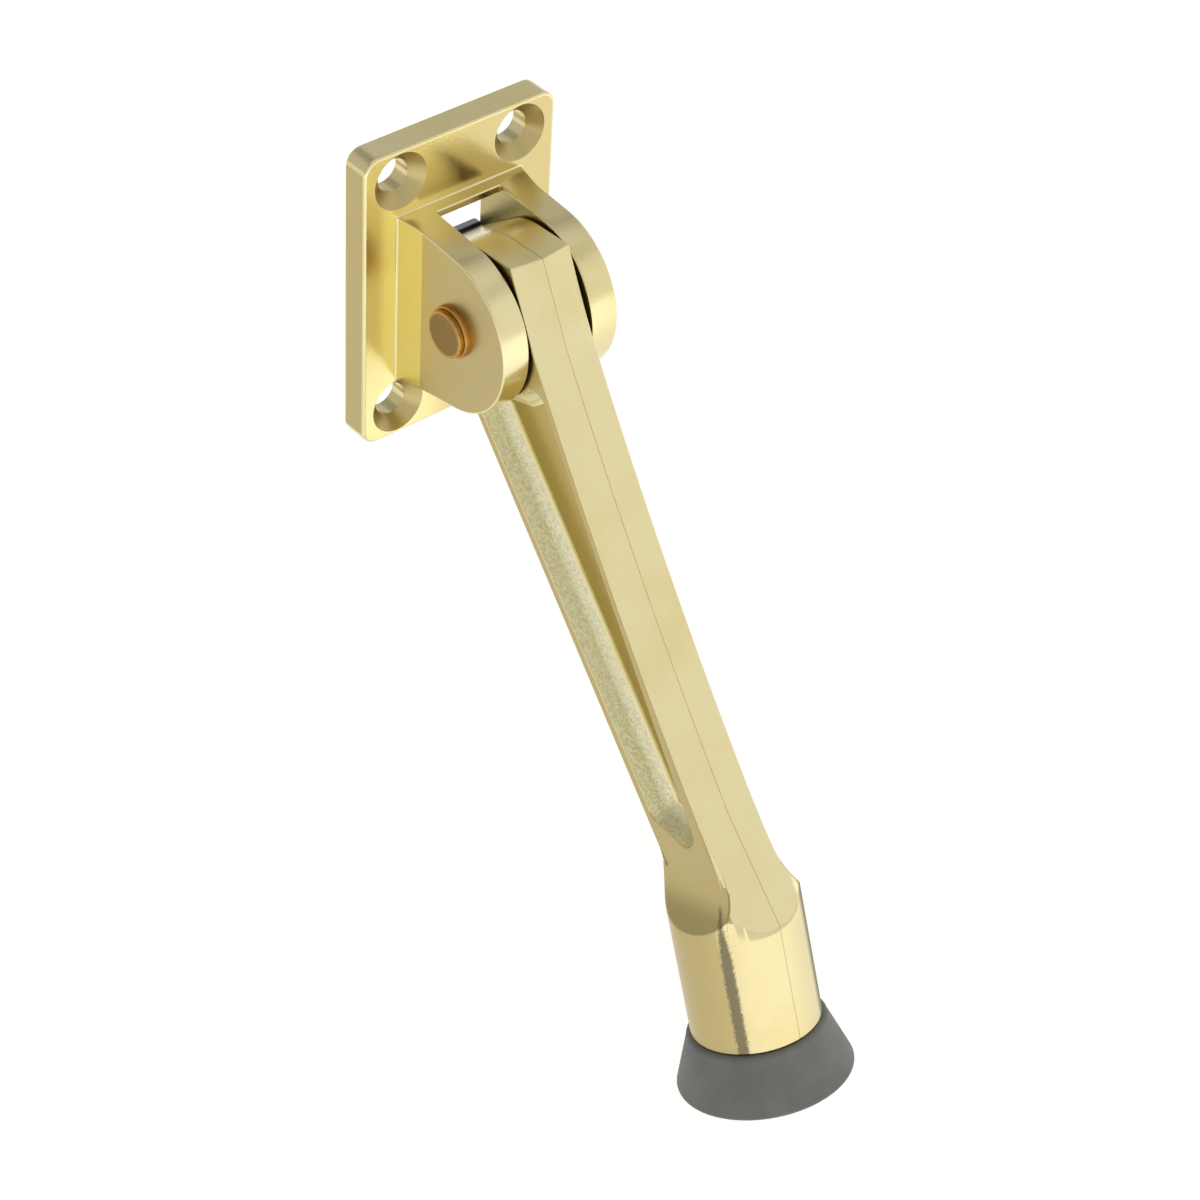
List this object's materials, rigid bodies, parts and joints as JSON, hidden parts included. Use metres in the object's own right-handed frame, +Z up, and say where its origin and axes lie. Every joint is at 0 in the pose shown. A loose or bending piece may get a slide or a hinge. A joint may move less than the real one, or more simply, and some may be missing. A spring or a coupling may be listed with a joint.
{
  "type": "kick-down door holder",
  "caption": "Door holder with a screwed bracket and a swinging arm whose rubber foot is kicked down on the floor to hold a door.",
  "frame": {"origin": "centre of the bracket's back, on the door's face, midway between the four screw holes", "axes": "-Y points away from the door, +Z is up and +X runs across the door"},
  "size_m": [0.0286, 0.0801, 0.1103],
  "materials": {
    "brass": "polished",
    "pin": "satin",
    "spring": "satin",
    "rubber": "matte"
  },
  "bodies": {
    "bracket": {"mounting_bracket": "brass", "pivot_pin": "pin", "leaf_spring": "spring"},
    "arm": {"holder_arm": "brass", "rubber_foot": "rubber"}
  },
  "joints": [
    {"name": "arm_pivot", "type": "hinge", "parent": "bracket", "child": "arm", "pos_m": [0, -0.014, 0.0006], "axis": [1, 0, 0], "range_deg": [-144.5, 20.2]}
  ]
}
